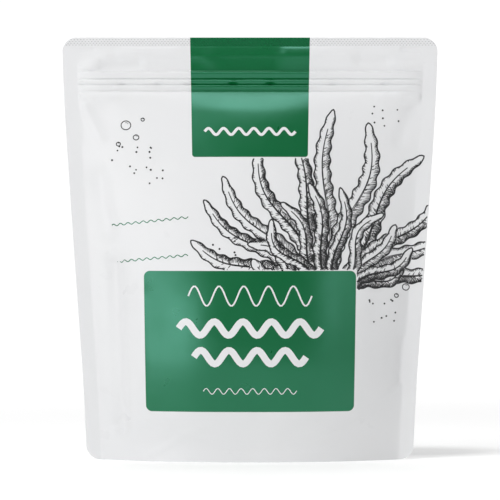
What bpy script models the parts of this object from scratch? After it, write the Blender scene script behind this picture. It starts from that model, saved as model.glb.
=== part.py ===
# A stand-up pouch of dried wakame, heat-sealed shut and standing on its opened bottom gusset.
# Metres, +Z up. The front panel faces -Y, and the origin is on the floor under the middle.
#
# The film is described by columns and heights. A column runs from -1 to 1 between the side seals,
# and on to -2 and 2 across them, so the panels and the gusset have the same columns and fit.

import math
import random

import bmesh
import bpy
from mathutils import Matrix, Vector, noise

MM = 0.001


def in_metres(*pairs):
    return [(height * MM, value * MM) for height, value in pairs]


# Standing pouch: half of its width, and the front panel's distance from the middle plane, by height
HEIGHT = 225 * MM
HALF_WIDTH = in_metres((0, 86.9), (40, 88.9), (85, 92.0), (150, 96.5), (195, 99.2), (217, 100.0))
BELLY = in_metres(
    (0, 29.0), (9, 28.0), (30, 31.5), (55, 34.0), (85, 32.5), (120, 27.5), (150, 21.5),
    (170, 16.0), (185, 10.0), (193, 5.0), (196.4, 2.2),
)

# How square and how pointed the section's cushion is, and how far the zip keeps the film flat,
# each easing from one height to another
SQUARENESS = ((20 * MM, 2.6), (110 * MM, 2.1))
TAPER = ((90 * MM, 0.9), (190 * MM, 1.2))
FLAT_BELOW_ZIP = ((170.4 * MM, 0.0), (196.4 * MM, 1.0))
FLAT_ABOVE_ZIP = ((207.3 * MM, 1.0), (215.3 * MM, 0.4))

# Film, and the clearance between two layers that are sealed together
FILM = 0.4 * MM
GAP = 0.3 * MM

# Side seals, whose width is also the radius of the four rounded corners
FIN = 7.6 * MM

# Header between the zip and the top seal, and the top seal itself
HEADER = in_metres((207.3, 1.5), (210.5, 2.3), (215, 2.3), (219.6, 0.9), (220.4, 0.55), (225, 0.55))

# Ridges and grooves that the zip presses into the film, and the column where they end
ZIP_RELIEF = in_metres(
    (196.4, 2.2), (197.0, 2.7), (199.3, 2.7), (199.9, 2.2), (200.5, 2.6), (202.0, 2.6),
    (202.6, 2.2), (203.2, 2.7), (206.5, 2.7), (207.3, 1.5),
)
ZIP_END = 0.95
ZIP_PLATE = 2.15 * MM

# Bottom gusset: height of its fold at the side seals and of its U-shaped seal at the middle,
# the heights over which a side seal goes from four layers to two, and the belly's flat middle
GUSSET_HEIGHT = 39.5 * MM
SEAL_HEIGHT = 9.3 * MM
SEAL_POWER = 2.3
LAYERS_END = (42 * MM, 48 * MM)
FLAT_COLUMN = 0.27
FLAT_DEPTH = 0.4
FOLD = 0.2 * MM

# Zip strips: the flanges' ends and faces, and half outlines of the rib and of the jaws that hold it
ZIP_FLANGE = (197.3 * MM, 206.2 * MM)
ZIP_FACES = (1.5 * MM, 1.15 * MM)
ZIP_CENTRE = 201.25 * MM
RIB = in_metres((-1.15, 0.25), (0.0, 0.25), (0.0, 0.5), (0.35, 0.5), (0.75, 0.2))
JAW = in_metres((-1.15, 1.15), (0.45, 1.15), (0.6, 0.8), (0.45, 0.45), (0.15, 0.45), (0.0, 0.8),
                (-1.15, 0.8))

# Wakame filling: a heap of crinkled dried strips, clear of the film
HEAP_HALF_LENGTH = 66 * MM
HEAP_TOP = 116 * MM
HEAP_SHOULDER = 24 * MM
HEAP_FILL = 0.9
HEAP_SQUARENESS = 2.8
CORE_SHARE = 0.9
CORE_CRUMPLE = (0.1, 6.5)
CLEAR_OF_FILM = (3.2 * MM, 4.6 * MM)
CLEAR_COLUMN = 0.9
STRIPS = 40
STRIP_LENGTH = (30 * MM, 48 * MM)
STRIP_WIDTH = (11 * MM, 18 * MM)
STRIP_THICKNESS = 0.8 * MM
STRIP_CURL = 1.5 * MM
STRIP_CRINKLE = 1.5 * MM
STRIP_WAVES = 5.5
STRIP_TAPER = 0.6
STRIP_SEED = 4

# Columns and rows of the faceted sheets
INNER_COLUMNS = (0.0, 0.14, FLAT_COLUMN, 0.41, 0.55, 0.68, 0.79, 0.88, ZIP_END, 0.975, 1.0)
FIN_COLUMNS = (1.5, 1.85, 2.0)
ROWS_AT_GUSSET = 8
ROWS_AT_BELLY = 11
BELLY_SHARES = (1.0, 0.88, 0.74, 0.57, FLAT_DEPTH, 0.2)
LEG_SHARES = (0.0, 0.35, 0.7, 1.0)
LEG_START = 1.05

FILM_WHITE = ("pouch_film", (0.80, 0.81, 0.82, 1), 0.42)
ZIP_CLEAR = ("zip_plastic", (0.82, 0.84, 0.85, 1), 0.30)
WAKAME_GREEN = ("dried_wakame", (0.025, 0.045, 0.022, 1), 0.70)


def material(name, colour, roughness):
    made = bpy.data.materials.get(name)
    if made:
        return made
    made = bpy.data.materials.new(name)
    made.use_nodes = True
    shader = made.node_tree.nodes["Principled BSDF"]
    shader.inputs["Base Color"].default_value = colour
    shader.inputs["Roughness"].default_value = roughness
    shader.inputs["Metallic"].default_value = 0.0
    return made


def object_from(bm, name, finish):
    mesh = bpy.data.meshes.new(name)
    bm.to_mesh(mesh)
    bm.free()
    mesh.materials.append(material(*finish))
    mesh.shade_smooth()
    mesh.set_sharp_from_angle(angle=math.radians(35))
    obj = bpy.data.objects.new(name, mesh)
    bpy.context.scene.collection.objects.link(obj)
    return obj


def smooth_step(low, high, value):
    share = min(max((value - low) / (high - low), 0.0), 1.0)
    return share * share * (3 - 2 * share)


def eased(ends, at):
    """Value between two (place, value) ends, level at both."""
    (low, first), (high, second) = ends
    return first + (second - first) * smooth_step(low, high, at)


def straight_through(points, at):
    """Value on the straight lines through (place, value) points."""
    at = min(max(at, points[0][0]), points[-1][0])
    k = next(i for i in range(1, len(points)) if at <= points[i][0])
    (low, first), (high, second) = points[k - 1], points[k]
    return first + (second - first) * (at - low) / (high - low)


def curve_through(points, at):
    """Value on the smooth curve through (place, value) points, which never overshoots them."""
    at = min(max(at, points[0][0]), points[-1][0])
    slopes = [(b[1] - a[1]) / (b[0] - a[0]) for a, b in zip(points, points[1:])]

    def tangent(i):
        before, after = slopes[max(i - 1, 0)], slopes[min(i, len(slopes) - 1)]
        return 2 * before * after / (before + after) if before * after > 0 else 0.0

    k = next(i for i in range(1, len(points)) if at <= points[i][0])
    (low, first), (high, second) = points[k - 1], points[k]
    span, s = high - low, (at - low) / (high - low)
    value = first + (second - first) * s * s * (3 - 2 * s)
    return value + span * s * (1 - s) * (tangent(k - 1) * (1 - s) - tangent(k) * s)


def half_between_seals(z):
    return curve_through(HALF_WIDTH, z) - FIN


def side_seal_face(z):
    """A side seal's outer face from the middle plane: four layers beside the gusset, then two."""
    two_layers = GAP / 2 + FILM
    four_layers = two_layers + GAP + FILM
    return eased(((LAYERS_END[0], four_layers), (LAYERS_END[1], two_layers)), z)


def centre_depth(z):
    if z < ZIP_RELIEF[0][0]:
        return curve_through(BELLY, z)
    if z < HEADER[0][0]:
        return straight_through(ZIP_RELIEF, z)
    return straight_through(HEADER, z)


def bulge(column, z):
    """How far the film stands off the side seals' face: a cushion, and the zip's flat plate."""
    across = min(abs(column), 1)
    cushion = (1 - across ** eased(SQUARENESS, z)) ** eased(TAPER, z)
    flat = 1 - smooth_step(ZIP_END, 1, across)
    flatness = eased(FLAT_BELOW_ZIP, z) * eased(FLAT_ABOVE_ZIP, z)
    depth = centre_depth(z) - side_seal_face(z)
    plate = min(depth, ZIP_PLATE) * flatness
    return plate * flat + (depth - plate) * cushion


def outer_point(column, z):
    """Point of the front panel's outer face at a column and height."""
    between = min(max(column, -1), 1)
    x = between * half_between_seals(z) + (column - between) * FIN
    return Vector((x, -side_seal_face(z) - bulge(column, z), z))


def under_outer(column, z, depth):
    """Point this deep under the front panel's outer face, measured level and square to the film."""
    step = 0.004
    along = outer_point(min(column + step, 2), z) - outer_point(max(column - step, -2), z)
    return outer_point(column, z) + Vector((-along.y, along.x, 0)).normalized() * depth


def corner_lift(column):
    """How far the rounded corners raise the bottom edge, and lower the top edge, at a column."""
    share = max(abs(column) - 1, 0.0)
    return FIN * (1 - math.sqrt(1 - min(share * share, 1)))


def height_in_corners(column, row):
    lift = corner_lift(column)
    return lift + row * (HEIGHT - 2 * lift) / HEIGHT


def film_sheet(name, columns, rows, outer, inner):
    """A closed sheet of film. outer and inner give its two faces' points by column and row.

    The grid is split into triangles before it is doubled, so the two faces can't cross.
    """
    bm = bmesh.new()
    column_of = bm.verts.layers.float.new("column")
    row_of = bm.verts.layers.float.new("row")
    bmesh.ops.create_grid(bm, x_segments=len(columns) - 1, y_segments=len(rows) - 1, size=0.5)
    for k, vert in enumerate(bm.verts):
        vert[column_of] = columns[k % len(columns)]
        vert[row_of] = rows[k // len(columns)]
    bmesh.ops.triangulate(bm, faces=bm.faces[:])
    second = bmesh.ops.extrude_face_region(bm, geom=bm.faces[:])["geom"]
    second = {item for item in second if isinstance(item, bmesh.types.BMVert)}
    for vert in bm.verts:
        face = inner if vert in second else outer
        vert.co = face(vert[column_of], vert[row_of])
    bmesh.ops.recalc_face_normals(bm, faces=bm.faces[:])
    return object_from(bm, name, FILM_WHITE)


def all_columns():
    right = list(INNER_COLUMNS + FIN_COLUMNS)
    return [-column for column in reversed(right[1:])] + right


def evenly(low, high, count):
    return [low + (high - low) * i / count for i in range(count)]


def make_panel(name, front):
    """The front or back wall, from the floor to the top edge."""
    rows = evenly(0, LAYERS_END[1], ROWS_AT_GUSSET)
    rows += evenly(LAYERS_END[1], ZIP_RELIEF[0][0], ROWS_AT_BELLY)
    rows += [height for height, _ in ZIP_RELIEF[:-1]]
    rows += [height for height, _ in HEADER]
    flip = Matrix.Scale(1 if front else -1, 3, (0, 1, 0))

    def outer(column, row):
        return flip @ outer_point(column, height_in_corners(column, row))

    def inner(column, row):
        return flip @ under_outer(column, height_in_corners(column, row), FILM)

    return film_sheet(name, all_columns(), rows, outer, inner)


def seal_height(column):
    """Height of the U-shaped seal, where the gusset leaves the panel."""
    return SEAL_HEIGHT + (GUSSET_HEIGHT - SEAL_HEIGHT) * min(abs(column), 1) ** SEAL_POWER


def gusset_height(column, share):
    """Height of the gusset's belly at a share of the way from the middle plane to its seal."""
    across = min(abs(column), 1)
    lowest = GUSSET_HEIGHT * (max(across - FLAT_COLUMN, 0) / (1 - FLAT_COLUMN)) ** 2
    flat = FLAT_DEPTH * (1 - smooth_step(FLAT_COLUMN, 2 * FLAT_COLUMN, across))
    rise = max(share - flat, 0) / (1 - flat)
    return lowest + (seal_height(column) - lowest) * rise ** 2


def make_gusset():
    """The bottom: a leg sealed inside each panel, a fold on top of it, and the belly between.

    Its rows run from -1 to 1 across the belly, and from LEG_START on down a leg to the floor.
    """
    belly = [-share for share in BELLY_SHARES] + [0.0] + list(reversed(BELLY_SHARES))
    legs = [LEG_START + share for share in LEG_SHARES]
    rows = [-row for row in reversed(legs)] + belly + legs

    def leg_point(column, row, depth):
        down = abs(row) - LEG_START
        top = seal_height(column)
        point = under_outer(column, top + (corner_lift(column) - top) * down, depth)
        return Vector((point.x, math.copysign(point.y, row), point.z))

    def belly_point(column, row):
        at_seal = under_outer(column, seal_height(column), 2 * FILM + GAP)
        half = abs(at_seal.y) - min(FOLD, 0.3 * abs(at_seal.y))
        z = gusset_height(column, abs(row))
        shift = outer_point(column, z).x - outer_point(column, seal_height(column)).x
        return Vector((at_seal.x + shift, row * half, z))

    def floor_side(column, row):
        if abs(row) > 1:
            return leg_point(column, row, 2 * FILM + GAP)
        return belly_point(column, row)

    def filling_side(column, row):
        if abs(row) > 1:
            return leg_point(column, row, FILM + GAP)
        if abs(row) > BELLY_SHARES[1] + 0.01:
            return belly_point(column, row) + Vector((0, 0, FILM))
        step = 0.01
        along = belly_point(min(column + step, 2), row) - belly_point(max(column - step, -2), row)
        across = belly_point(column, row + step) - belly_point(column, row - step)
        return belly_point(column, row) + along.cross(across).normalized() * FILM

    return film_sheet("bottom_gusset", all_columns(), rows, floor_side, filling_side)


def make_zip_strip(name, half_outline, side):
    """One half of the zip: a flange with its rib or jaws, extruded along the pouch's width."""
    outer, inner = ZIP_FACES
    low, high = ZIP_FLANGE[0] - ZIP_CENTRE, ZIP_FLANGE[1] - ZIP_CENTRE
    outline = [(-inner, low), (-outer, low), (-outer, high), (-inner, high)]
    outline += half_outline + [(y, -z) for y, z in reversed(half_outline)]
    half_length = ZIP_END * half_between_seals(ZIP_CENTRE) - FILM
    bm = bmesh.new()
    section = [bm.verts.new((-half_length, -side * y, ZIP_CENTRE + z)) for y, z in outline]
    face = bm.faces.new(section)
    far_end = bmesh.ops.extrude_face_region(bm, geom=[face])["geom"]
    far_end = [item for item in far_end if isinstance(item, bmesh.types.BMVert)]
    bmesh.ops.translate(bm, verts=far_end, vec=(2 * half_length, 0, 0))
    bmesh.ops.recalc_face_normals(bm, faces=bm.faces[:])
    return object_from(bm, name, ZIP_CLEAR)


def is_clear(point, clearance):
    """Whether a point stays this far from the panels, the gusset and the side seals."""
    column = point.x / half_between_seals(point.z)
    if abs(column) > CLEAR_COLUMN:
        return False
    half_depth = abs(outer_point(column, point.z).y) - clearance
    if abs(point.y) > half_depth:
        return False
    return point.z > gusset_height(column, abs(point.y) / half_depth) + clearance


def kept_clear(point, clearance):
    """The point, drawn in towards the heap's middle as far as it has to be to stay clear."""
    middle, near, far = heap_middle(), 0.0, 1.0
    if is_clear(point, clearance):
        return point
    for _ in range(12):
        share = (near + far) / 2
        if is_clear(middle.lerp(point, share), clearance):
            near = share
        else:
            far = share
    return middle.lerp(point, near)


def heap_middle():
    return Vector((0, 0, HEAP_TOP / 2))


def heap_point(direction):
    """Point of the heap's surface towards a direction from its middle."""
    reach = sum(abs(part) ** HEAP_SQUARENESS for part in direction) ** (1 / HEAP_SQUARENESS)
    along, across, up = direction / reach
    x = along * HEAP_HALF_LENGTH
    top = HEAP_TOP - HEAP_SHOULDER * along ** 2
    low = gusset_height(x / half_between_seals(0), 0)
    z = low + (top - low) * (up + 1) / 2
    depth = abs(outer_point(x / half_between_seals(z), z).y) * HEAP_FILL
    return kept_clear(Vector((x, across * depth, z)), CLEAR_OF_FILM[0])


def core_point(direction):
    """Point of the core's surface: the heap drawn in a little, and crumpled."""
    crumple, scale = CORE_CRUMPLE
    size = CORE_SHARE + crumple * noise.noise(direction * scale)
    return heap_middle().lerp(heap_point(direction.normalized()), size)


def spread_direction(i, count):
    """The i-th of count directions that are spread evenly on a sphere."""
    up = 1 - 2 * (i + 0.5) / count
    turn = i * math.pi * (3 - math.sqrt(5))
    level = math.sqrt(1 - up * up)
    return Vector((level * math.cos(turn), level * math.sin(turn), up))


def make_strip(name, direction, rng):
    """One dried strip, curled and crinkled, lying on the heap with its ends standing off it."""
    length, width = rng.uniform(*STRIP_LENGTH), rng.uniform(*STRIP_WIDTH)
    place = core_point(direction)
    aside = direction.orthogonal().normalized()
    toward = (core_point(direction + aside * 0.05) - place).normalized()
    beside = core_point(direction + direction.cross(aside) * 0.05) - place
    out = toward.cross(beside).normalized()
    turn, phase = rng.uniform(0, math.pi), rng.uniform(0, 2 * math.pi)
    clearance = rng.uniform(*CLEAR_OF_FILM)
    run = toward * math.cos(turn) + out.cross(toward) * math.sin(turn)
    side = out.cross(run)

    bm = bmesh.new()
    bmesh.ops.create_grid(bm, x_segments=5, y_segments=2, size=0.5)
    bmesh.ops.triangulate(bm, faces=bm.faces[:])
    for vert in bm.verts:
        u, v, _ = vert.co * 2
        taper = 1 - STRIP_TAPER * u ** 4
        crinkle = STRIP_CRINKLE * math.sin(STRIP_WAVES * u + phase) * v
        flat = place + (run * length * u + side * width * taper * v) / 2
        vert.co = kept_clear(flat + out * (crinkle - STRIP_CURL * u * u), clearance)
    bmesh.ops.solidify(bm, geom=bm.faces[:], thickness=STRIP_THICKNESS)
    bmesh.ops.recalc_face_normals(bm, faces=bm.faces[:])
    return object_from(bm, name, WAKAME_GREEN)


def outside_only(mesh):
    """Keep the mesh's largest shell: sealed hollows are filled that way, and scraps dropped."""
    bm = bmesh.new()
    bm.from_mesh(mesh)
    shells, left = [], set(bm.faces)
    while left:
        shell, border = [], [left.pop()]
        while border:
            face = border.pop()
            shell.append(face)
            near = {other for edge in face.edges for other in edge.link_faces} & left
            left -= near
            border.extend(near)
        shells.append(shell)
    largest = set(max(shells, key=len))
    bmesh.ops.delete(bm, geom=[face for face in bm.faces if face not in largest], context="FACES")
    bm.to_mesh(mesh)
    bm.free()


def make_filling():
    """The heap as one body: a crumpled core, with the strips joined to it by one union.

    The union's solver is MANIFOLD, because EXACT leaves open edges where strips lie flush.
    """
    bm = bmesh.new()
    bmesh.ops.create_icosphere(bm, subdivisions=3, radius=1)
    for vert in bm.verts:
        vert.co = core_point(vert.co)
    bmesh.ops.recalc_face_normals(bm, faces=bm.faces[:])
    heap = object_from(bm, "wakame_filling", WAKAME_GREEN)

    rng = random.Random(STRIP_SEED)
    strips = bpy.data.collections.new("strips")
    for i in range(STRIPS):
        strips.objects.link(make_strip(f"strip_{i}", spread_direction(i, STRIPS), rng))
    union = heap.modifiers.new("strips", "BOOLEAN")
    union.operation = "UNION"
    union.operand_type = "COLLECTION"
    union.collection = strips
    union.solver = "MANIFOLD"
    evaluated = heap.evaluated_get(bpy.context.evaluated_depsgraph_get())
    joined = bpy.data.meshes.new_from_object(evaluated)
    heap.modifiers.clear()
    heap.data = joined
    outside_only(joined)
    for strip in list(strips.objects):
        bpy.data.objects.remove(strip)
    bpy.data.collections.remove(strips)
    return heap


for old in list(bpy.data.objects):
    bpy.data.objects.remove(old)

make_panel("front_panel", front=True)
make_panel("back_panel", front=False)
make_gusset()
make_zip_strip("zip_rib_strip", RIB, side=-1)
make_zip_strip("zip_jaw_strip", JAW, side=1)
make_filling()
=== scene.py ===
import math
import random
from functools import lru_cache

import bmesh
import bpy
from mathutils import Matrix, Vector, kdtree, noise


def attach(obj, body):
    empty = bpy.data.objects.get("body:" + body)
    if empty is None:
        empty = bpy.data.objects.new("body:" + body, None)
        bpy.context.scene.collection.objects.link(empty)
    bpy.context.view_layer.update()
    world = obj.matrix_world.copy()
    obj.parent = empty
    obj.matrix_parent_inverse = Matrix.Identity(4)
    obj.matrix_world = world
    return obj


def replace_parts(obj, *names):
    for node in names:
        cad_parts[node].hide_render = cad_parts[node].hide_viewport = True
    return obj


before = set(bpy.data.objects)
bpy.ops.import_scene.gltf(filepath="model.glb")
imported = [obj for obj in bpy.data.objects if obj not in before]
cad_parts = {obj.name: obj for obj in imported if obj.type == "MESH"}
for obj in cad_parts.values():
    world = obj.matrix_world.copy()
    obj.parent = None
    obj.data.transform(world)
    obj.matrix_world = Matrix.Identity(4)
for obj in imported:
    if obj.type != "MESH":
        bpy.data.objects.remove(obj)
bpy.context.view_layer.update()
mm = 0.001  # lengths in the dictionaries below are in mm
print("frame loaded")

# The pouch's form, by height: half of its width, and how far the front stands off the middle plane.
# A column is 0 in the middle, 1 where a side seal begins and 2 at the film's edge
pouch = {
    "height": 225,
    "flatHalfWidth": 100,
    "halfWidth": [(0, 86.9), (40, 88.9), (85, 92.0), (150, 96.5), (195, 99.2), (217, 100.0)],
    "belly": [(0, 29.0), (9, 28.0), (30, 31.5), (55, 34.0), (85, 32.5), (120, 27.5), (150, 21.5),
              (170, 16.0), (185, 10.0), (193, 5.0), (196.4, 2.2)],
    "zip": [(196.4, 2.2), (197.1, 2.8), (198.4, 3.2), (199.2, 3.1), (199.8, 2.05), (200.3, 2.7),
            (201.6, 3.1), (202.2, 2.9), (202.8, 2.0), (203.3, 2.75), (205.6, 3.35), (206.4, 3.3),
            (207.3, 1.45)],
    "header": [(207.3, 1.45), (208.3, 1.5), (212.5, 1.8), (215.5, 1.75), (219.7, 0.5), (220.3, 0.21),
               (225, 0.21)],
    "squareness": ((20, 2.6), (110, 2.1)),
    "taper": ((90, 1.15), (190, 1.2)),
    "flatBelowZip": ((170.4, 0.0), (196.4, 1.0)),
    "flatAboveZip": ((207.3, 1.0), (215.3, 0.4)),
    "plateEnd": [(170, 0.55), (190, 0.75), (195.8, 0.95), (208.2, 0.95), (213, 0.7), (225, 0.6)],
    "zipPlate": 3.3,       # the most of the depth that stays flat across
    "firmStart": 0.78,     # column up to which the zip holds the film out
    "firmPower": 4,        # how late it then falls to the side seal
    "firmHeights": (186, 196, 208, 213),   # it grows over the first two, fades over the last
    "fin": 7.6,            # width of a side seal, and radius of the four corners
    "film": 0.2,
    "clearance": 0.01,     # between two layers that are sealed together
    "fourLayersEnd": (42, 48),
    "gussetHeight": 39.5,
    "sealHeight": 9.3,
    "sealPower": 2.3,
}


def smoothStep(low, high, value):
    share = min(max((value - low) / (high - low), 0.0), 1.0)
    return share * share * (3 - 2 * share)


def eased(ends, at):
    (low, first), (high, second) = ends
    return first + (second - first) * smoothStep(low, high, at)


def straightThrough(points, at):
    at = min(max(at, points[0][0]), points[-1][0])
    k = next(i for i in range(1, len(points)) if at <= points[i][0])
    (low, first), (high, second) = points[k - 1], points[k]
    return first + (second - first) * (at - low) / (high - low)


def curveThrough(points, at):
    at = min(max(at, points[0][0]), points[-1][0])
    slopes = [(b[1] - a[1]) / (b[0] - a[0]) for a, b in zip(points, points[1:])]

    def tangent(i):
        before, after = slopes[max(i - 1, 0)], slopes[min(i, len(slopes) - 1)]
        return 2 * before * after / (before + after) if before * after > 0 else 0.0

    k = next(i for i in range(1, len(points)) if at <= points[i][0])
    (low, first), (high, second) = points[k - 1], points[k]
    span, s = high - low, (at - low) / (high - low)
    value = first + (second - first) * s * s * (3 - 2 * s)
    return value + span * s * (1 - s) * (tangent(k - 1) * (1 - s) - tangent(k) * s)


@lru_cache(maxsize=None)
def halfBetween(z):  # from the middle to a side seal
    return curveThrough(pouch["halfWidth"], z) - pouch["fin"]


def sealFace(z):  # a side seal's outer face: four layers beside the gusset, then two
    twoLayers = pouch["clearance"] + pouch["film"]
    low, high = pouch["fourLayersEnd"]
    return eased(((low, 2 * twoLayers), (high, twoLayers)), z)


def middleDepth(z):
    if z < pouch["zip"][0][0]:
        return curveThrough(pouch["belly"], z)
    return straightThrough(pouch["zip"] if z < pouch["header"][0][0] else pouch["header"], z)


@lru_cache(maxsize=None)
def sectionAt(z):  # what the cross section at one height needs
    flatness = eased(pouch["flatBelowZip"], z) * eased(pouch["flatAboveZip"], z)
    depth = middleDepth(z) - sealFace(z)
    plate = min(depth, pouch["zipPlate"]) * flatness
    plateEnd = straightThrough(pouch["plateEnd"], z)
    low, full, fading, high = pouch["firmHeights"]
    firm = smoothStep(low, full, z) * (1 - smoothStep(fading, high, z))
    return (sealFace(z), depth, plate, plateEnd, firm, eased(pouch["squareness"], z),
            eased(pouch["taper"], z))


def bareFilm(column, z):  # x and y of the front's outer face, before its folds
    face, depth, plate, plateEnd, firm, square, taper = sectionAt(z)
    across = min(abs(column), 1)
    cushion = (1 - across ** square) ** taper
    flat = 1 - smoothStep(plateEnd, 1, across)
    start = pouch["firmStart"]
    flat += firm * (1 - max((across - start) / (1 - start), 0) ** pouch["firmPower"] - flat)
    between = min(max(column, -1), 1)
    x = between * halfBetween(z) + (column - between) * pouch["fin"]
    return x, -face - plate * flat - (depth - plate) * cushion


def columnAt(x, z):  # -1 to 1 between the side seals, and on to -2 and 2 across them
    between = halfBetween(z)
    if abs(x) <= between:
        return x / between
    return math.copysign(1 + (abs(x) - between) / pouch["fin"], x)


def sealLine(column):  # height of the bottom's U-shaped seal
    rise = pouch["gussetHeight"] - pouch["sealHeight"]
    return pouch["sealHeight"] + rise * min(abs(column), 1) ** pouch["sealPower"]


# Folds in the film: from x, z to x, z, half width, and how far it stands out, or in with a minus
frontFolds = [
    (-88, 209, -77, 214.5, 3.2, 0.9),
    (-67, 216.5, -40, 217, 3.2, 0.7),
    (-78, 210.4, -60, 211, 3.2, -1.3),
    (-50, 211.4, -28, 212, 4.2, -0.7),
    (-93, 218.3, -84, 218.5, 1.3, -0.6),
    (82, 218.6, 91, 218.6, 1.6, -1.1),
    (60, 213.2, 72, 212.4, 3.8, -1.4),
    (20, 217, 52, 216, 3.2, 0.5),
    (-15, 213.5, 12, 213, 4.0, -0.6),
    (-91, 194.5, -84, 191.8, 1.6, 0.7),
    (-80, 191.5, -70, 193.5, 2.0, 0.5),
    (-88, 188, -80, 172, 3.2, 0.9),
    (91, 193.5, 84, 190.5, 1.6, 0.7),
    (69, 193, 80, 193.5, 2.0, 0.5),
    (86, 187, 80, 170, 4.0, -0.8),
    (-80, 150, -75.5, 122, 5.0, -1.4),
    (-72.5, 104, -69.0, 20, 5.0, -3.0),
    (-57, 86, -54, 36, 7.0, 0.6),
    (82.5, 64, 80.5, 44, 3.0, -0.9),
    (75, 84, 66, 46, 7.0, 0.9),
    (74.5, 37.5, 80.5, 42, 1.2, -0.5),
    (62, 90, 56, 40, 7.0, 0.6),
    (-52, 3.5, -35, 13.5, 1.5, 0.3),
    (-33, 14.5, -23, 20, 1.6, 0.25),
    (-54, 17, -46, 18.5, 2.2, -0.4),
    (60, 33, 20, 13, 6.0, -0.5),
]
backFolds = [
    (88, 212, 68, 217.5, 3.2, 0.5),
    (78, 211, 55, 211.5, 3.6, -0.8),
    (-50, 213.5, -72, 213, 4.5, -0.6),
    (91, 194, 80, 191, 1.8, 0.45),
    (-90, 194, -78, 190.5, 2.0, 0.5),
    (82, 118, 78.5, 88, 3.4, -1.0),
    (-80, 96, -77.5, 60, 3.4, -0.9),
    (-75, 38, -81.5, 43.5, 0.9, -0.4),
    (78, 36, 81, 40, 0.9, -0.35),
    (40, 150, 30, 120, 9.0, -0.3),
]
relief = {
    "sealStep": 0.22,        # the bottom seal lies a little deeper than the film above it
    "sealStepHalf": 0.8,
    "foldReach": 3,          # a fold ends this many half widths from its line
    "edge": 0.982,           # column from which all relief fades into the side seal
    "topSeal": (219.2, 220.4),   # heights over which the folds fade into it
    "zipFrom": (195, 197),   # heights over which they fade out at the zip, and come back
    "zipTo": (206.5, 208.5),
    "looseFrom": (0, 30),    # heights over which the crumple grows, and fades
    "looseTo": (180, 195),
    "kinks": (-90.5, -68.3, -49.6, -33.1, -9.1, 10.7, 43.9, 71.4, 92.0),
    "kinkHeights": (200.15, 201.6),
    "kinkSize": (2.3, 0.55),
    "kinkOut": (-0.8, 0.45),   # at the lower and the upper height
    "crumple": 0.3,
    "crumpleScale": 0.03,
}
sides = {
    "front": {"sign": 1, "folds": frontFolds, "seed": 3.0},
    "back": {"sign": -1, "folds": backFolds, "seed": 11.0},
}


@lru_cache(maxsize=None)
def foldsNear(z, side):  # those that reach this height
    near = []
    for x0, z0, x1, z1, halfWidth, height in sides[side]["folds"]:
        reach = relief["foldReach"] * halfWidth + 1
        if min(z0, z1) - reach < z < max(z0, z1) + reach:
            dx, dz = x1 - x0, z1 - z0
            near.append((x0, z0, dx, dz, dx * dx + dz * dz, halfWidth ** -2, height))
    return near


def foldsAt(x, z, side):
    total = 0.0
    for x0, z0, dx, dz, square, tight, height in foldsNear(round(z), side):
        px, pz = x - x0, z - z0
        share = min(max((px * dx + pz * dz) / square, 0.0), 1.0)
        far = ((px - share * dx) ** 2 + (pz - share * dz) ** 2) * tight
        if far < relief["foldReach"] ** 2:
            total += height * math.exp(-far)
    return total


def kinkAt(x, z):  # small pinches along the zip's middle ridge
    wide, tall = relief["kinkSize"]
    low, high = relief["kinkHeights"]
    lowOut, highOut = relief["kinkOut"]
    total = 0.0
    for place in relief["kinks"]:
        aside = abs(x - place) / wide
        if aside < 3:
            pinch = math.exp(-aside * aside)
            total += lowOut * pinch * math.exp(-((z - low) / tall) ** 2)
            total += highOut * pinch * math.exp(-((z - high) / tall) ** 2)
    return total


def reliefAt(x, column, z, side):
    inside = 1 - smoothStep(relief["edge"], 1, abs(column))
    if inside == 0:
        return 0.0
    total = foldsAt(x, z, side)
    if z > relief["zipFrom"][0]:
        unsealed = 1 - smoothStep(*relief["topSeal"], z)
        onZip = smoothStep(*relief["zipFrom"], z) * (1 - smoothStep(*relief["zipTo"], z))
        return inside * (unsealed * (1 - onZip) * total + kinkAt(x, z))
    loose = min(smoothStep(*relief["looseFrom"], z), 1 - smoothStep(*relief["looseTo"], z))
    spot = Vector((x, z, sides[side]["seed"])) * relief["crumpleScale"]
    total += relief["crumple"] * loose * noise.noise(spot)
    half = relief["sealStepHalf"]
    total -= relief["sealStep"] * (1 - smoothStep(-half, half, z - sealLine(column)))
    return inside * total


@lru_cache(maxsize=None)
def filmFrame(column, z, side):  # the outer face's x and y, the way out from it, and its relief
    step = 0.004
    x, y = bareFilm(column, z)
    ax, ay = bareFilm(min(column + step, 2), z)
    bx, by = bareFilm(max(column - step, -2), z)
    size = math.hypot(ax - bx, ay - by)
    return x, y, (ay - by) / size, (bx - ax) / size, reliefAt(x, column, z, side)


def onFilm(column, z, lift, side="front"):  # a point this far above the outer face, in metres
    x, y, outX, outY, height = filmFrame(column, z, side)
    out = lift + height
    return Vector((x + outX * out, sides[side]["sign"] * (y + outY * out), z)) * mm


# Materials
def newMaterial(name, colour, roughness, **more):
    made = bpy.data.materials.new(name)
    made.use_nodes = True
    shader = made.node_tree.nodes["Principled BSDF"]
    shader.inputs["Base Color"].default_value = (*colour, 1)
    shader.inputs["Roughness"].default_value = roughness
    for socket, value in more.items():
        shader.inputs[socket.replace("_", " ")].default_value = value
    return made


def addNode(material, kind, inputs=(), **settings):  # inputs are values, or sockets to link from
    node = material.node_tree.nodes.new(kind)
    for name, value in settings.items():
        setattr(node, name, value)
    for place, value in dict(inputs).items():
        if isinstance(value, bpy.types.NodeSocket):
            material.node_tree.links.new(value, node.inputs[place])
        else:
            node.inputs[place].default_value = value
    return node


def calculate(material, operation, *values):
    return addNode(material, "ShaderNodeMath", dict(enumerate(values)), operation=operation).outputs[0]


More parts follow.
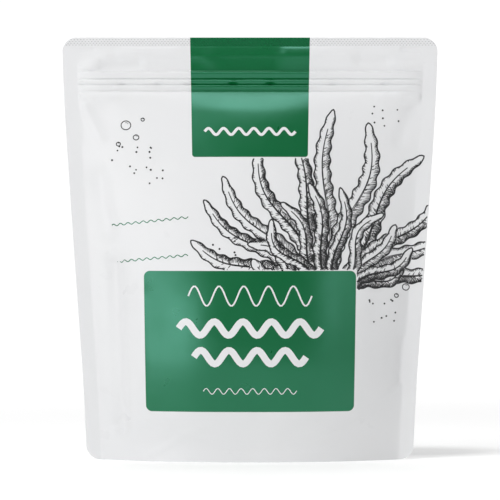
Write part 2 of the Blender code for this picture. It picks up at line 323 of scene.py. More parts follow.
def mixColours(material, share, first, second):
    inputs = {"Factor": share, "A": first, "B": second}
    node = material.node_tree.nodes.new("ShaderNodeMix")
    node.data_type = "RGBA"
    sockets = {"Factor": node.inputs[0], "A": node.inputs[6], "B": node.inputs[7]}
    for name, value in inputs.items():
        if isinstance(value, bpy.types.NodeSocket):
            material.node_tree.links.new(value, sockets[name])
        else:
            sockets[name].default_value = value if name == "Factor" else (*value, 1)
    return node.outputs[2]


def shaderOf(material):
    return material.node_tree.nodes["Principled BSDF"]


def objectPoint(material):
    return addNode(material, "ShaderNodeTexCoord").outputs["Object"]


def addBump(material, height, distance, strength=1.0):
    inputs = {"Height": height, "Distance": distance, "Strength": strength}
    bump = addNode(material, "ShaderNodeBump", inputs)
    material.node_tree.links.new(bump.outputs["Normal"], shaderOf(material).inputs["Normal"])


def noiseAt(material, scale, detail=3.0, roughness=0.5, stretch=(1, 1, 1)):
    inputs = {"Vector": objectPoint(material), "Scale": stretch}
    point = addNode(material, "ShaderNodeMapping", inputs)
    inputs = {"Vector": point.outputs[0], "Scale": scale, "Detail": detail, "Roughness": roughness}
    return addNode(material, "ShaderNodeTexNoise", inputs).outputs["Fac"]


def spread(material, value, low, high):  # a noise value spread from low to high
    inputs = {"Value": value, "From Min": 0.3, "From Max": 0.7, "To Min": low, "To Max": high}
    return addNode(material, "ShaderNodeMapRange", inputs).outputs[0]


# Green fields printed on the film, in mm as seen from the front
fields = {
    "band": {"half": 30.6, "slant": 0.021, "low": 160.9, "high": 240, "radius": 1.5},
    "label": {"half": 54.9, "slant": 0.017, "low": 26.6, "high": 100.7, "radius": 3.2},
}
printColours = {
    "white": (0.800, 0.805, 0.815),
    "green": (0.001, 0.116, 0.027),
    "black": (0.016, 0.016, 0.018),
}
glossTints = {"white": (0.18, 0.18, 0.18), "green": (0.40, 1.0, 0.88)}  # of a gloss level of 1
filmTones = {
    "white": ((0.792, 0.797, 0.808), (0.812, 0.816, 0.824)),
    "green": ((0.0009, 0.112, 0.026), (0.0011, 0.120, 0.028)),
}
knurlPaintedShade = 0.72   # painted shade: the knurl's pressed cells are drawn this much darker
fieldEdge = 0.06      # half width of a field's soft edge


def fieldMask(material, field):  # 1 inside a field with round corners, 0 outside
    x, _, z = addNode(material, "ShaderNodeSeparateXYZ", {0: objectPoint(material)}).outputs
    middle = (field["low"] + field["high"]) / 2 * mm
    radius = field["radius"] * mm
    slant = field["slant"]
    wider = calculate(material, "MULTIPLY_ADD", z, slant, -field["low"] * mm * slant)
    across = calculate(material, "SUBTRACT", calculate(material, "ABSOLUTE", x), wider)
    across = calculate(material, "SUBTRACT", across, field["half"] * mm - radius)
    up = calculate(material, "ABSOLUTE", calculate(material, "SUBTRACT", z, middle))
    up = calculate(material, "SUBTRACT", up, (field["high"] - field["low"]) / 2 * mm - radius)
    corner = addNode(material, "ShaderNodeCombineXYZ", {
        0: calculate(material, "MAXIMUM", across, 0.0),
        1: calculate(material, "MAXIMUM", up, 0.0),
    })
    length = addNode(material, "ShaderNodeVectorMath", {0: corner.outputs[0]}, operation="LENGTH")
    inputs = {"Value": length.outputs["Value"], "From Min": radius + fieldEdge * mm,
              "From Max": radius - fieldEdge * mm}
    return addNode(material, "ShaderNodeMapRange", inputs).outputs[0]


def shaded(shade, *colours):
    return [tuple(part * shade for part in colour) for colour in colours]


def addGrain(material):  # the film's fine matt grain
    addBump(material, noiseAt(material, 1400, 2), 0.00001, 0.5)


# shade darkens the film's colours; below 1 it paints shade into the knurl's pressed cells
def filmMaterial(name, fieldNames, shade=1.0):
    made = newMaterial(name, printColours["white"], 0.3, Specular_IOR_Level=1.0)
    masks = [fieldMask(made, fields[key]) for key in fieldNames]
    mask = masks[0]
    for other in masks[1:]:
        mask = calculate(made, "MAXIMUM", mask, other)
    tone = spread(made, noiseAt(made, 22, 2), 0.0, 1.0)
    white = mixColours(made, tone, *shaded(shade, *filmTones["white"]))
    green = mixColours(made, tone, *shaded(shade, *filmTones["green"]))
    shader = shaderOf(made)
    links = made.node_tree.links
    links.new(mixColours(made, mask, white, green), shader.inputs["Base Color"])
    links.new(mixColours(made, mask, glossTints["white"], glossTints["green"]),
              shader.inputs["Specular Tint"])
    links.new(spread(made, noiseAt(made, 60, 4), 0.27, 0.33), shader.inputs["Roughness"])
    addGrain(made)
    return made


# each side's second material is the knurl cells' painted shade
frontPrint = [filmMaterial("printed_film_front", ("band", "label")),
              filmMaterial("knurl_painted_shade_front", ("band",), knurlPaintedShade)]
backPrint = [filmMaterial("printed_film_back", ("band",)),
             filmMaterial("knurl_painted_shade_back", ("band",), knurlPaintedShade)]
whiteFilm = newMaterial("white_film", printColours["white"], 0.32, Specular_IOR_Level=1.0)
shaderOf(whiteFilm).inputs["Specular Tint"].default_value = (*glossTints["white"], 1)
addGrain(whiteFilm)


def mergeInto(bm, part):
    mesh = bpy.data.meshes.new("part")
    part.to_mesh(mesh)
    part.free()
    bm.from_mesh(mesh)
    bpy.data.meshes.remove(mesh)


def finished(bm, name, materials, sharpAt=40):
    mesh = bpy.data.meshes.new(name)
    bm.to_mesh(mesh)
    bm.free()
    for material in materials:
        mesh.materials.append(material)
    mesh.shade_smooth()
    if sharpAt:
        mesh.set_sharp_from_angle(angle=math.radians(sharpAt))
    piece = bpy.data.objects.new(name, mesh)
    bpy.context.scene.collection.objects.link(piece)
    return piece


# Front and back film: a flat sheet with round corners and a knurled top seal, laid on the form
sheet = {
    "columnStep": 0.85,
    "rowSteps": [(0, 1.1), (45, 2.5), (168, 1.3), (195.4, 0.3), (208, 0.9), (219.5, 0.3)],
    "rowsEnd": 220.4,      # above it the rows follow the knurl
    "cornerCuts": 10,
    "knurlRows": (221.0, 221.95, 222.9, 223.85),
    "knurlHeight": 0.56,
    "knurlWall": 0.08,
    "knurlDepth": 0.16,
}


def evenly(low, high, step):
    count = max(round((high - low) / step), 1)
    return [low + (high - low) * i / count for i in range(count)]


def sheetColumns():
    seam = pouch["flatHalfWidth"] - pouch["fin"]
    right = evenly(0, seam, sheet["columnStep"])
    right += evenly(seam, seam + pouch["fin"], sheet["columnStep"])
    right.append(pouch["flatHalfWidth"])
    return [-x for x in reversed(right[1:])] + right


def sheetRows():
    rows = []
    starts = sheet["rowSteps"]
    knurl = [z + edge * sheet["knurlHeight"] / 2 for z in sheet["knurlRows"] for edge in (-1, 1)]
    ends = [low for low, _ in starts[1:]] + [sheet["rowsEnd"]]
    for (low, step), high in zip(starts, ends):
        rows += evenly(low, high, step)
    return rows + [sheet["rowsEnd"]] + knurl + [pouch["height"]]


def cutCorners(bm):  # rounds the sheet's corners by cuts along a circle's tangents
    radius, wide, tall = pouch["fin"], pouch["flatHalfWidth"], pouch["height"]
    for right in (-1, 1):
        for up in (0, 1):
            middle = Vector((right * (wide - radius), 0, tall - radius if up else radius))
            near = [face for face in bm.faces
                    if (face.calc_center_median() - middle).length < 2 * radius]
            for k in range(sheet["cornerCuts"]):
                turn = math.pi / 2 * (k + 0.5) / sheet["cornerCuts"]
                away = Vector((right * math.cos(turn), 0, (1 if up else -1) * math.sin(turn)))
                near = [face for face in near if face.is_valid]
                edges = {edge for face in near for edge in face.edges}
                verts = {vert for face in near for vert in face.verts}
                cut = bmesh.ops.bisect_plane(
                    bm, geom=[*near, *edges, *verts], dist=0.0001, plane_co=middle + away * radius,
                    plane_no=away, clear_outer=True)
                near = [item for item in cut["geom"] if isinstance(item, bmesh.types.BMFace)]


def pressKnurl(bm):  # every other cell of the top seal's rows, staggered
    cells = []
    whole = 0.9 * sheet["columnStep"] * sheet["knurlHeight"]
    for face in bm.faces:
        middle = face.calc_center_median()
        for k, z in enumerate(sheet["knurlRows"]):
            if abs(middle.z - z) < sheet["knurlHeight"] / 4 and face.calc_area() > whole:
                if (math.floor(middle.x / sheet["columnStep"]) + k) % 2 == 0:
                    cells.append(face)
    bmesh.ops.inset_individual(
        bm, faces=cells, thickness=sheet["knurlWall"], depth=-sheet["knurlDepth"],
        use_even_offset=True)
    for cell in cells:
        # the cells take the darker second material: painted shade in the pressed dents
        cell.material_index = 1


def filmPanel(name, side, materials):
    columns, rows = sheetColumns(), sheetRows()
    bm = bmesh.new()
    bmesh.ops.create_grid(bm, x_segments=len(columns) - 1, y_segments=len(rows) - 1, size=0.5)
    bm.verts.ensure_lookup_table()
    for k, vert in enumerate(bm.verts):
        vert.co = (columns[k % len(columns)], 0, rows[k // len(columns)])
    cutCorners(bm)
    pressKnurl(bm)
    bmesh.ops.triangulate(bm, faces=bm.faces[:])
    second = bmesh.ops.extrude_face_region(bm, geom=bm.faces[:])["geom"]
    second = {item for item in second if isinstance(item, bmesh.types.BMVert)}
    seam = pouch["flatHalfWidth"] - pouch["fin"]
    for vert in bm.verts:
        u, pressed, z = vert.co
        column = u / seam
        if abs(u) > seam:
            column = math.copysign(1 + (abs(u) - seam) / pouch["fin"], u)
        lift = -pouch["film"] if vert in second else -pressed
        vert.co = onFilm(column, z, lift, side)
    bmesh.ops.recalc_face_normals(bm, faces=bm.faces[:])
    piece = finished(bm, name, materials)
    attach(piece, "root")
    return piece


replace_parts(filmPanel("front_film", "front", frontPrint), "front_panel")
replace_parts(filmPanel("back_film", "back", backPrint), "back_panel")
print("front and back film made")

# Bottom gusset: a leg sealed inside each panel, and the belly that hangs between them
gusset = {
    "flatColumn": 0.27,
    "flatDepth": 0.4,
    "columnStep": 0.0105,
    "finStep": 0.125,
    "bellyRows": 22,
    "legRows": 28,
    "bellyEnd": 1.001,     # rows beyond it are legs
    "legStart": 1.02,
    "tuck": 0.995,         # draws the belly's edge in, off the legs
}


def gussetHeight(column, share):
    across = min(abs(column), 1)
    flatColumn = gusset["flatColumn"]
    lowest = pouch["gussetHeight"] * (max(across - flatColumn, 0) / (1 - flatColumn)) ** 2
    flat = gusset["flatDepth"] * (1 - smoothStep(flatColumn, 2 * flatColumn, across))
    rise = max(share - flat, 0) / (1 - flat)
    return lowest + (sealLine(column) - lowest) * rise ** 2


def cornerLift(column):
    share = min(max(abs(column) - 1, 0.0), 1.0)
    return pouch["fin"] * (1 - math.sqrt(1 - share * share))


def gussetLeg(column, row, depth):
    side = "front" if row < 0 else "back"
    top = sealLine(column)
    down = abs(row) - gusset["legStart"]
    return onFilm(column, top + (cornerLift(column) - top) * down, -depth, side)


def gussetBelly(column, row, depth):
    edge = 2 * pouch["film"] + pouch["clearance"]
    ends = [onFilm(column, sealLine(column), -edge, side) for side in sides]
    point = ends[0].lerp(ends[1], (row + 1) / 2)
    z = gussetHeight(column, abs(row))
    shift = (bareFilm(column, z)[0] - bareFilm(column, sealLine(column))[0]) * mm
    return Vector((point.x + shift, point.y * gusset["tuck"], (z + depth) * mm))


def makeGusset():
    inner = evenly(0, 1, gusset["columnStep"])
    right = inner + evenly(1, 2, gusset["finStep"]) + [2.0]
    columns = [-c for c in reversed(right[1:])] + right
    belly = [-1 + 2 * k / gusset["bellyRows"] for k in range(gusset["bellyRows"] + 1)]
    legs = [gusset["legStart"] + k / gusset["legRows"] for k in range(gusset["legRows"] + 1)]
    rows = [-row for row in reversed(legs)] + belly + legs
    bm = bmesh.new()
    bmesh.ops.create_grid(bm, x_segments=len(columns) - 1, y_segments=len(rows) - 1, size=0.5)
    bm.verts.ensure_lookup_table()
    for k, vert in enumerate(bm.verts):
        vert.co = (columns[k % len(columns)], rows[k // len(columns)], 0)
    bmesh.ops.triangulate(bm, faces=bm.faces[:])
    second = bmesh.ops.extrude_face_region(bm, geom=bm.faces[:])["geom"]
    second = {item for item in second if isinstance(item, bmesh.types.BMVert)}
    thick, gap = pouch["film"], pouch["clearance"]
    for vert in bm.verts:
        column, row, _ = vert.co
        if abs(row) > gusset["bellyEnd"]:
            vert.co = gussetLeg(column, row, thick + gap if vert in second else 2 * thick + gap)
        else:
            vert.co = gussetBelly(column, row, thick if vert in second else 0.0)
    bmesh.ops.recalc_face_normals(bm, faces=bm.faces[:])
    return finished(bm, "gusset_film", [whiteFilm])


gussetFilm = makeGusset()
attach(gussetFilm, "root")
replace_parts(gussetFilm, "bottom_gusset")
print("gusset made")

# Zip strips: the frame's own solids, in clear milky plastic
zipPlastic = newMaterial("milky_zip_plastic", (0.82, 0.84, 0.85), 0.3, Subsurface_Weight=0.15)
zipPlastic.node_tree.links.new(
    spread(zipPlastic, noiseAt(zipPlastic, 300, 3, stretch=(0.05, 1, 1)), 0.24, 0.38),
    shaderOf(zipPlastic).inputs["Roughness"])
for strip in ("zip_rib_strip", "zip_jaw_strip"):
    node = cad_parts[strip]
    node.data.materials.clear()
    node.data.materials.append(zipPlastic)

# Wakame filling: a crumpled heap with many thin crinkled strips lying on it
filling = {
    "halfLength": 66,
    "top": 116,
    "shoulder": 24,
    "fill": 0.9,
    "squareness": 2.8,
    "coreShare": 0.88,
    "crumple": (0.12, 6.5),
    "clearOfFilm": (2.4, 4.6),
    "clearColumn": 0.9,
    "searchSteps": 10,
    "strips": 150,
    "stripGrid": (14, 4),
    "length": (26, 50),
    "width": (7, 15),
    "thickness": 0.35,
    "curl": 1.8,
    "crinkle": 1.6,
    "waves": 5.5,
    "endTaper": 0.6,
    "edgeWave": 0.14,
    "fineCrinkle": 0.5,
    "seed": 7,
}


def isClear(point, clearance):
    column = point.x / halfBetween(round(point.z, 1))
    if abs(column) > filling["clearColumn"]:
        return False
    halfDepth = -bareFilm(column, round(point.z, 1))[1] - clearance
    if abs(point.y) > halfDepth:
        return False
    return point.z > gussetHeight(column, abs(point.y) / halfDepth) + clearance


def keptClear(point, clearance):
    middle = Vector((0, 0, filling["top"] / 2))
    near, far = 0.0, 1.0
    if isClear(point, clearance):
        return point
    for _ in range(filling["searchSteps"]):
        share = (near + far) / 2
        if isClear(middle.lerp(point, share), clearance):
            near = share
        else:
            far = share
    return middle.lerp(point, near)


def heapPoint(direction, share, clearance):
    power = filling["squareness"]
    along, across, up = direction / sum(abs(part) ** power for part in direction) ** (1 / power)
    x = along * filling["halfLength"]
    top = filling["top"] - filling["shoulder"] * along ** 2
    low = gussetHeight(x / halfBetween(0), 0)
    z = low + (top - low) * (up + 1) / 2
    depth = -bareFilm(x / halfBetween(round(z, 1)), round(z, 1))[1] * filling["fill"]
    middle = Vector((0, 0, filling["top"] / 2))
    return middle.lerp(keptClear(Vector((x, across * depth, z)), clearance), share)


def corePoint(direction):
    crumple, scale = filling["crumple"]
    size = filling["coreShare"] + crumple * noise.fractal(direction * scale, 0.6, 2, 3)
    return heapPoint(direction.normalized(), size, filling["clearOfFilm"][0])


def addStrip(bm, direction, rng):
    length, width = rng.uniform(*filling["length"]), rng.uniform(*filling["width"])
    place = corePoint(direction)
    aside = direction.orthogonal().normalized()
    toward = (corePoint(direction + aside * 0.05) - place).normalized()
    out = toward.cross(corePoint(direction + direction.cross(aside) * 0.05) - place).normalized()
    turn, phase = rng.uniform(0, math.pi), rng.uniform(0, 2 * math.pi)
    clearance = rng.uniform(*filling["clearOfFilm"])
    run = toward * math.cos(turn) + out.cross(toward) * math.sin(turn)
    beside = out.cross(run)
    strip = bmesh.new()
    columns, rows = filling["stripGrid"]
    bmesh.ops.create_grid(strip, x_segments=columns, y_segments=rows, size=1)
    for vert in strip.verts:
        u, v, _ = vert.co
        taper = 1 - filling["endTaper"] * u ** 4
        taper += filling["edgeWave"] * math.sin(11 * u + phase + 2 * v)
        crinkle = filling["crinkle"] * math.sin(filling["waves"] * u + phase) * v
        crinkle += filling["fineCrinkle"] * math.sin(17 * u + 5 * v + phase)
        flat = place + (run * length * u + beside * width * taper * v) / 2
        vert.co = keptClear(flat + out * (crinkle - filling["curl"] * u * u), clearance)
    bmesh.ops.solidify(strip, geom=strip.faces[:], thickness=filling["thickness"])
    bmesh.ops.recalc_face_normals(strip, faces=strip.faces[:])
    mergeInto(bm, strip)


def makeFilling():
    bm = bmesh.new()
    bmesh.ops.create_icosphere(bm, subdivisions=5, radius=1)
    for vert in bm.verts:
        vert.co = corePoint(vert.co)
    bmesh.ops.recalc_face_normals(bm, faces=bm.faces[:])
    rng = random.Random(filling["seed"])
    for i in range(filling["strips"]):
        up = 1 - 2 * (i + 0.5) / filling["strips"]
        turn = i * math.pi * (3 - math.sqrt(5))
        level = math.sqrt(1 - up * up)
        addStrip(bm, Vector((level * math.cos(turn), level * math.sin(turn), up)), rng)
    for vert in bm.verts:
        vert.co *= mm
    wakame = newMaterial("dried_wakame", (0.025, 0.045, 0.022), 0.7)
    colour = mixColours(wakame, spread(wakame, noiseAt(wakame, 120, 5, 0.6), 0.0, 1.0),
                        (0.010, 0.020, 0.010), (0.048, 0.074, 0.030))
    wakame.node_tree.links.new(colour, shaderOf(wakame).inputs["Base Color"])
    roughness = spread(wakame, noiseAt(wakame, 400, 3), 0.55, 0.85)
    wakame.node_tree.links.new(roughness, shaderOf(wakame).inputs["Roughness"])
    addBump(wakame, noiseAt(wakame, 900, 5, 0.65), 0.0004, 0.8)
    return finished(bm, "wakame_heap", [wakame])


heap = makeFilling()
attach(heap, "root")
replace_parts(heap, "wakame_filling")
print("filling made")

# Printed ink: thin strokes laid on the film
ink = {
    "lift": 0.05,
    "thickness": 0.045,
    "dotCorners": 8,
    "black": newMaterial("black_ink", printColours["black"], 0.45),
    "white": newMaterial("white_ink", printColours["white"], 0.3),
    "green": newMaterial("green_ink", printColours["green"], 0.3),
}
for name, low, high in (("black", 0.38, 0.52), ("white", 0.27, 0.33), ("green", 0.27, 0.33)):
    material = ink[name]
    roughness = spread(material, noiseAt(material, 700, 3), low, high)
    material.node_tree.links.new(roughness, shaderOf(material).inputs["Roughness"])
    if name in glossTints:
        shaderOf(material).inputs["Specular IOR Level"].default_value = 1.0
        shaderOf(material).inputs["Specular Tint"].default_value = (*glossTints[name], 1)


def inkStroke(bm, points, widths, side="front"):  # a ribbon of ink through (x, z) points
    count = len(points)
    verts = bmesh.ops.create_grid(bm, x_segments=count - 1, y_segments=1, size=0.5)["verts"]
    for k, vert in enumerate(verts):
        i = k % count
        before, after = points[max(i - 1, 0)], points[min(i + 1, count - 1)]
        dx, dz = after[0] - before[0], after[1] - before[1]
        half = (widths[i] if isinstance(widths, list) else widths) / 2 / max(math.hypot(dx, dz), 1e-6)
        half *= -1 if k < count else 1
        x, z = points[i][0] - dz * half, points[i][1] + dx * half
        vert.co = onFilm(columnAt(x, z), z, ink["lift"], side)


def inkDot(bm, x, z, radius):
    made = bmesh.ops.create_circle(bm, cap_ends=True, segments=ink["dotCorners"], radius=radius)
    for vert in made["verts"]:
        px, pz = x + vert.co.x, z + vert.co.y
        vert.co = onFilm(columnAt(px, pz), pz, ink["lift"])


def printedPiece(bm, name, material):
    faceDown = [face for face in bm.faces
                if face.normal.y * (1 if face.calc_center_median().y < 0 else -1) > 0]
    bmesh.ops.reverse_faces(bm, faces=faceDown)
    for edge in bm.edges:
        edge.smooth = not edge.is_boundary
    piece = finished(bm, name, [material], sharpAt=0)
    wall = piece.modifiers.new("thickness", "SOLIDIFY")
    wall.thickness = ink["thickness"] * mm
    wall.offset = -1
    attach(piece, "root")
    return piece


# Kelp drawn in black line: a fan of ruffled ribbons that rises from behind the label
kelp = {
    "long": {"count": 11, "lean": (-60, 70), "length": (67, 98), "width": (6.8, 9.4),
             "root": (40, 90)},
    "short": {"count": 10, "lean": (-58, 64), "length": (38, 60), "width": (6.0, 8.4),
              "root": (42, 88)},
    "rootSpread": 9,
    "droop": 0.10,
    "samples": 64,
    "sway": 5.0,
    "ruffle": (0.13, 7.5),     # share of the half width, and mm from crest to crest
    "outline": 0.72,
    "outlineStep": 0.8,
    "lastColumn": 1.93,        # nothing is drawn nearer to the film's edge
    "rib": (0.4, 1.3),         # at the tip and at the root
    "ribHalf": 0.12,           # share of the half width, at the root
    "ribEnd": 0.9,
    "hatch": (0.58, 0.18),
    "hatchStep": 0.7,
    "seed": 12,
}


class Blade:
    def __init__(self, kind, share, rng):
        low, high = kind["lean"]
        self.lean = math.radians(low + (high - low) * share + rng.uniform(-4, 4))
        middle = 1 - abs(2 * share - 1)
        shortest, longest = kind["length"]
        self.length = shortest + (longest - shortest) * middle ** 0.8 + rng.uniform(-3, 3)
        self.halfWidth = rng.uniform(*kind["width"]) / 2
        self.sway = kelp["sway"] * rng.uniform(0.6, 1.2) * (1 if rng.random() < 0.5 else -1)
        self.phase = rng.uniform(0, 2 * math.pi)
        rootX, rootZ = kind["root"]
        self.root = (rootX + kelp["rootSpread"] * math.sin(self.lean), rootZ)
        self.line = [self.centre(i / kelp["samples"]) for i in range(kelp["samples"] + 1)]
        self.tree = kdtree.KDTree(len(self.line))
        for i, (x, z) in enumerate(self.line):
            self.tree.insert((x, z, 0), i)
        self.tree.balance()

    def centre(self, t):
        bend = self.sway * math.sin(2.2 * math.pi * t) * t ** 0.6
        droop = self.length * kelp["droop"] * t * t * math.sin(self.lean)
        ahead = self.length * t
        x = self.root[0] + ahead * math.sin(self.lean) + bend * math.cos(self.lean) + droop * 0.4
        z = self.root[1] + ahead * math.cos(self.lean) - bend * math.sin(self.lean) - abs(droop)
        return x, z

    def half(self, t, edge):  # half width towards one edge, -1 or 1
        size, step = kelp["ruffle"]
        body = min(1.0, 0.42 + 1.6 * t) * max(1 - t ** 5, 0.0) ** 0.5
        phase = self.phase * (1.7 if edge > 0 else 1)
        wave = math.sin(2 * math.pi * t * self.length / step + phase)
        return self.halfWidth * body * (1 + size * wave)

    def across(self, t, share):  # point at a share of the way from the centre line to an edge
        x, z = self.centre(t)
        ax, az = self.centre(min(t + 0.01, 1))
        bx, bz = self.centre(max(t - 0.01, 0))
        size = math.hypot(ax - bx, az - bz)
        reach = self.half(t, share) * share
        return x + (az - bz) / size * reach, z - (ax - bx) / size * reach

    def covers(self, x, z):
        (nx, nz, _), i, far = self.tree.find((x, z, 0))
        t = i / kelp["samples"]
        if far > self.halfWidth * 1.3:
            return False
        ax, az = self.line[min(i + 1, kelp["samples"])]
        bx, bz = self.line[max(i - 1, 0)]
        turn = (az - bz) * (x - nx) - (ax - bx) * (z - nz)
        beyond = (ax - bx) * (x - nx) + (az - bz) * (z - nz)
        if i == kelp["samples"] and beyond > 0:
            return False
        return far < self.half(t, 1 if turn > 0 else -1)


fieldMargin = 0.3  # bare film round a printed field


def behindField(x, z):
    for field in fields.values():
        half = field["half"] + field["slant"] * (z - field["low"])
        tall = field["low"] - fieldMargin < z < field["high"] + fieldMargin
        if tall and abs(x) < half + fieldMargin:
            return True
    return False


def drawShown(bm, points, widths, nearer):  # leaves out what a nearer blade or a field covers
    run, runWidths = [], []
    for k, (x, z) in enumerate(points):
        column = abs(columnAt(x, z))
        hidden = column > kelp["lastColumn"] or behindField(x, z)
        hidden = hidden or any(blade.covers(x, z) for blade in nearer)
        if not hidden:
            run.append((x, z))
            runWidths.append(widths[k] if isinstance(widths, list) else widths)
        if (hidden or k == len(points) - 1) and run:
            if len(run) > 1:
                inkStroke(bm, run, runWidths)
            run, runWidths = [], []


def hatch(bm, blade, nearer, t, slant, first, last):  # one short stroke across part of a blade
    stroke = [blade.across(min(max(t + slant * k / 2 / blade.length, 0), 1),
                           first + (last - first) * k / 2) for k in range(3)]
    wide, thin = kelp["hatch"]
    drawShown(bm, stroke, [wide, (wide + thin) / 2, thin], nearer)


def drawBlade(bm, blade, nearer, rng, dark):
    steps = int(blade.length / kelp["outlineStep"])
    shares = [k / steps for k in range(steps + 1)]
    right = [blade.across(t, 1.0) for t in shares]
    left = [blade.across(t, -1.0) for t in shares]
    drawShown(bm, right + left[::-1], kelp["outline"], nearer)
    tip, root = kelp["rib"]
    ribHalf = kelp["ribHalf"]
    ribShares = shares[:int(steps * kelp["ribEnd"])]
    drawShown(bm, [blade.across(t, -ribHalf * (1 - t)) for t in ribShares], tip, nearer)
    drawShown(bm, [blade.across(t, ribHalf * (1 - t)) for t in ribShares],
              [tip + (root - tip) * (1 - t) ** 1.5 * dark for t in ribShares], nearer)
    count = int(blade.length / kelp["hatchStep"])
    for k in range(count):
        t = (k + rng.uniform(-0.2, 0.2)) / count
        if not 0.02 < t < 0.97:
            continue
        shade = (1 - t) ** 0.55  # the root lies in shadow
        reach = rng.uniform(0.32, 0.5) + (0.5 if dark else 0.22) * shade
        hatch(bm, blade, nearer, t, -1.0, 1, 1 - reach)
        if rng.random() < 0.3 + 0.6 * shade:
            hatch(bm, blade, nearer, t, -0.8, -1, -1 + rng.uniform(0.14, 0.26) + 0.25 * shade)
        if dark and rng.random() < 0.3 + 0.8 * shade:
            hatch(bm, blade, nearer, t, 1.5, 0.97, 0.97 - reach * rng.uniform(0.65, 0.95))
        if rng.random() < 1.8 * shade - 0.6:
            hatch(bm, blade, nearer, t, 1.0, ribHalf, rng.uniform(0.35, 0.6))
        if dark and rng.random() < 1.6 * shade - 0.7:
            hatch(bm, blade, nearer, t, 0.9, -ribHalf, -rng.uniform(0.3, 0.6))


def drawKelp(bm):
    rng = random.Random(kelp["seed"])
    blades = []
    for kind in ("short", "long"):
        setting = kelp[kind]
        made = [Blade(setting, k / (setting["count"] - 1), rng) for k in range(setting["count"])]
        order = sorted(range(len(made)), key=lambda k: (k % 2, abs(k - len(made) / 2)))
        blades += [made[k] for k in order]
    for k, blade in enumerate(blades):
        drawn = bmesh.new()
        drawBlade(drawn, blade, blades[:k], rng, dark=k % 3 != 1)
        mergeInto(bm, drawn)


# Small things drawn round the kelp: rings like bubbles, and dots
bubbles = {
    "rings": [(-66, 178, 2.6), (-60.5, 171.5, 1.5), (-70, 168, 1.1), (-57, 181, 0.9),
              (83, 92, 1.9), (77.5, 87.5, 1.1)],
    "line": 0.5,
    "corners": 24,
    "squash": 0.9,
    "innerSize": 0.55,
    "dotGroups": [(-63, 160, 11, 14), (74, 182, 9, 9), (-14, 112, 7, 7), (71, 79, 9, 11),
                  (-52, 150, 6, 5)],
    "dotRadius": (0.45, 0.6),
    "seed": 5,
}


def drawBubbles(bm):
    for x, z, radius in bubbles["rings"]:
        turns = [2 * math.pi * k / bubbles["corners"] for k in range(bubbles["corners"] + 1)]
        tall, inside = radius * bubbles["squash"], radius * bubbles["innerSize"]
        points = [(x + radius * math.cos(a), z + tall * math.sin(a)) for a in turns]
        inkStroke(bm, points, bubbles["line"])
        inner = [(x + inside * math.cos(a / 5 + 0.6), z + inside * math.sin(a / 5 + 0.6))
                 for a in turns]
        inkStroke(bm, inner, bubbles["line"] * 0.5)
    rng = random.Random(bubbles["seed"])
    for x, z, size, count in bubbles["dotGroups"]:
        for _ in range(count):
            px, pz = x + rng.uniform(-size, size), z + rng.uniform(-size, size) * 0.7
            if not behindField(px, pz):
                inkDot(bm, px, pz, rng.uniform(*bubbles["dotRadius"]))


blackPrint = bmesh.new()
drawKelp(blackPrint)
drawBubbles(blackPrint)
printedPiece(blackPrint, "printed_kelp", ink["black"])
print("kelp drawn")

# Waves: white ones in the green fields, and two small green ones beside the label.
# Across fields: from x, to x, z, height, step, width. Beside: from x, z to x, z
waves = {
    "label": [(-32.5, 32.5, 87.5, 5.2, 13.0, 0.85), (-37.5, 37.5, 70.5, 3.6, 15.0, 3.6),
              (-29.5, 29.5, 55.5, 3.6, 14.75, 3.6), (-24.5, 24.5, 37.5, 1.5, 6.1, 0.42)],
    "band": [(-24, 24, 174.5, 1.7, 8.0, 1.5)],
    "beside": [(-74.0, 124.8, -32.6, 129.0), (-72.0, 105.4, -32.6, 109.0)],
    "besideWave": (0.55, 4.1, 0.45),
    "pointsPerWave": 14,
}


def waveLine(bm, start, end, height, step, width):
    (x0, z0), (x1, z1) = start, end
    count = int(math.hypot(x1 - x0, z1 - z0) / min(step / waves["pointsPerWave"], 1.0))
    points = []
    for k in range(count + 1):
        share = k / count
        x = x0 + (x1 - x0) * share
        points.append((x, z0 + (z1 - z0) * share + height * math.sin(2 * math.pi * (x - x0) / step)))
    inkStroke(bm, points, width)


whitePrint = bmesh.new()
for low, high, z, height, step, width in waves["label"] + waves["band"]:
    waveLine(whitePrint, (low, z), (high, z), height, step, width)
printedPiece(whitePrint, "printed_waves", ink["white"])

greenPrint = bmesh.new()
for x0, z0, x1, z1 in waves["beside"]:
    waveLine(greenPrint, (x0, z0), (x1, z1), *waves["besideWave"])

# Back: a plain ruled frame in green line
backFrame = {"half": 55, "low": 30, "high": 142, "rows": 9, "line": 0.6, "ruling": 0.3,
             "steps": 110}


def drawBackFrame(bm):
    half, low, high = backFrame["half"], backFrame["low"], backFrame["high"]
    steps = backFrame["steps"]
    for k in range(backFrame["rows"] + 1):
        z = low + (high - low) * k / backFrame["rows"]
        width = backFrame["line"] if k in (0, backFrame["rows"]) else backFrame["ruling"]
        ruled = [(-half + 2 * half * i / steps, z) for i in range(steps + 1)]
        inkStroke(bm, ruled, width, "back")
    for x in (-half, half):
        upright = [(x, low + (high - low) * i / steps) for i in range(steps + 1)]
        inkStroke(bm, upright, backFrame["line"], "back")


drawBackFrame(greenPrint)
printedPiece(greenPrint, "printed_green_lines", ink["green"])
print("waves and frame drawn")

# Camera, level with the middle of the pouch
camera = {"distance": 2.0, "height": 0.1117, "lens": 270}
cameraData = bpy.data.cameras.new("camera")
cameraData.lens = camera["lens"]
cameraObject = bpy.data.objects.new("camera", cameraData)
cameraObject.location = (0, -camera["distance"], camera["height"])
cameraObject.rotation_euler = (math.pi / 2, 0, 0)
bpy.context.scene.collection.objects.link(cameraObject)
bpy.context.scene.camera = cameraObject
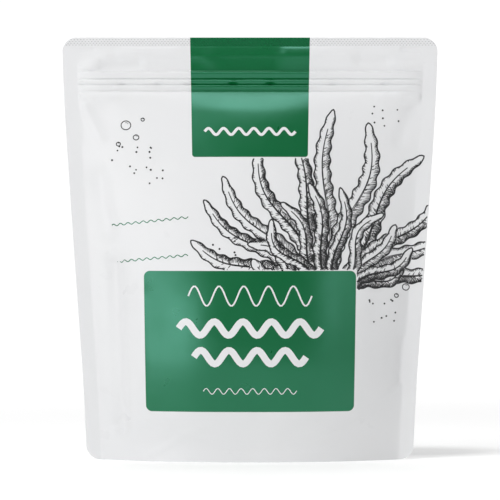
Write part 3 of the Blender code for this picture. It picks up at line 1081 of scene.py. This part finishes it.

# Studio: a floor that glows as painted light, less near the shadow as a painted shadow, a white
# backdrop behind, a dim hall in front and soft boxes
studio = {
    "floorSize": 3.4,
    "shadowSpot": (0.09, 0.08, 0),              # the floor glows less towards here, a painted shadow
    "floorGlow": ((0.02, 0.0), (0.08, 0.22)),   # by the distance from there
    "farGlow": ((0.35, 0.0), (1.3, 0.3)),       # added further off
    "backdropFade": (0.0, 0.6),                 # share of the view's direction that points back
    "hall": 0.2,
    "backdrop": 1.06,
    "aim": (0, 0, 0.11),
    "lights": [  # name, degrees left of the front and up, distance, width, height, power
        ("left", 46, 4, 2.2, 1.4, 0.5, 9.4),
        ("right", -48, 10, 2.2, 0.5, 0.5, 1.9),
        ("key", 33, 45, 2.2, 0.7, 0.7, 8.8),
        ("top", 18, 72, 1.95, 1.0, 0.9, 12.5),
        ("rightSide", -80, 35, 2.0, 0.9, 0.9, 2.0),
    ],
}


def makeStudio():
    bm = bmesh.new()
    bmesh.ops.create_grid(bm, x_segments=2, y_segments=2, size=studio["floorSize"] / 2)
    paper = newMaterial("floor_paper", (0.92, 0.92, 0.92), 0.9)
    shaderOf(paper).inputs["Emission Color"].default_value = (1, 1, 1, 1)
    # painted light: the floor's glow, lowered round the shadow spot as a painted shadow
    away = addNode(paper, "ShaderNodeVectorMath", {0: objectPoint(paper), 1: studio["shadowSpot"]},
                   operation="DISTANCE")
    glows = []
    for (near, low), (far, high) in (studio["floorGlow"], studio["farGlow"]):
        inputs = {"Value": away.outputs["Value"], "From Min": near, "From Max": far, "To Min": low,
                  "To Max": high}
        glow = addNode(paper, "ShaderNodeMapRange", inputs, interpolation_type="SMOOTHSTEP")
        glows.append(glow.outputs[0])
    paper.node_tree.links.new(calculate(paper, "ADD", *glows),
                              shaderOf(paper).inputs["Emission Strength"])
    finished(bm, "floor", [paper], sharpAt=0)
    world = bpy.data.worlds.new("studio")
    world.use_nodes = True
    bpy.context.scene.world = world
    background = world.node_tree.nodes["Background"]
    direction = addNode(world, "ShaderNodeTexCoord").outputs["Generated"]
    ahead = addNode(world, "ShaderNodeSeparateXYZ", {0: direction}).outputs[1]
    start, end = studio["backdropFade"]
    inputs = {"Value": ahead, "From Min": start, "From Max": end, "To Min": studio["hall"],
              "To Max": studio["backdrop"]}
    strength = addNode(world, "ShaderNodeMapRange", inputs, interpolation_type="SMOOTHSTEP")
    world.node_tree.links.new(strength.outputs[0], background.inputs["Strength"])
    background.inputs["Color"].default_value = (1, 1, 1, 1)
    for name, left, up, distance, width, height, power in studio["lights"]:
        left, up = math.radians(left), math.radians(up)
        away = Vector((-math.sin(left) * math.cos(up), -math.cos(left) * math.cos(up), math.sin(up)))
        data = bpy.data.lights.new(name, "AREA")
        data.shape = "RECTANGLE"
        data.size = width
        data.size_y = height
        data.energy = power
        lamp = bpy.data.objects.new(name, data)
        lamp.location = Vector(studio["aim"]) + away * distance
        lamp.rotation_euler = away.to_track_quat("Z", "Y").to_euler()
        lamp.visible_camera = False
        bpy.context.scene.collection.objects.link(lamp)


makeStudio()
bpy.context.scene.view_settings.view_transform = "Standard"
print("studio made")
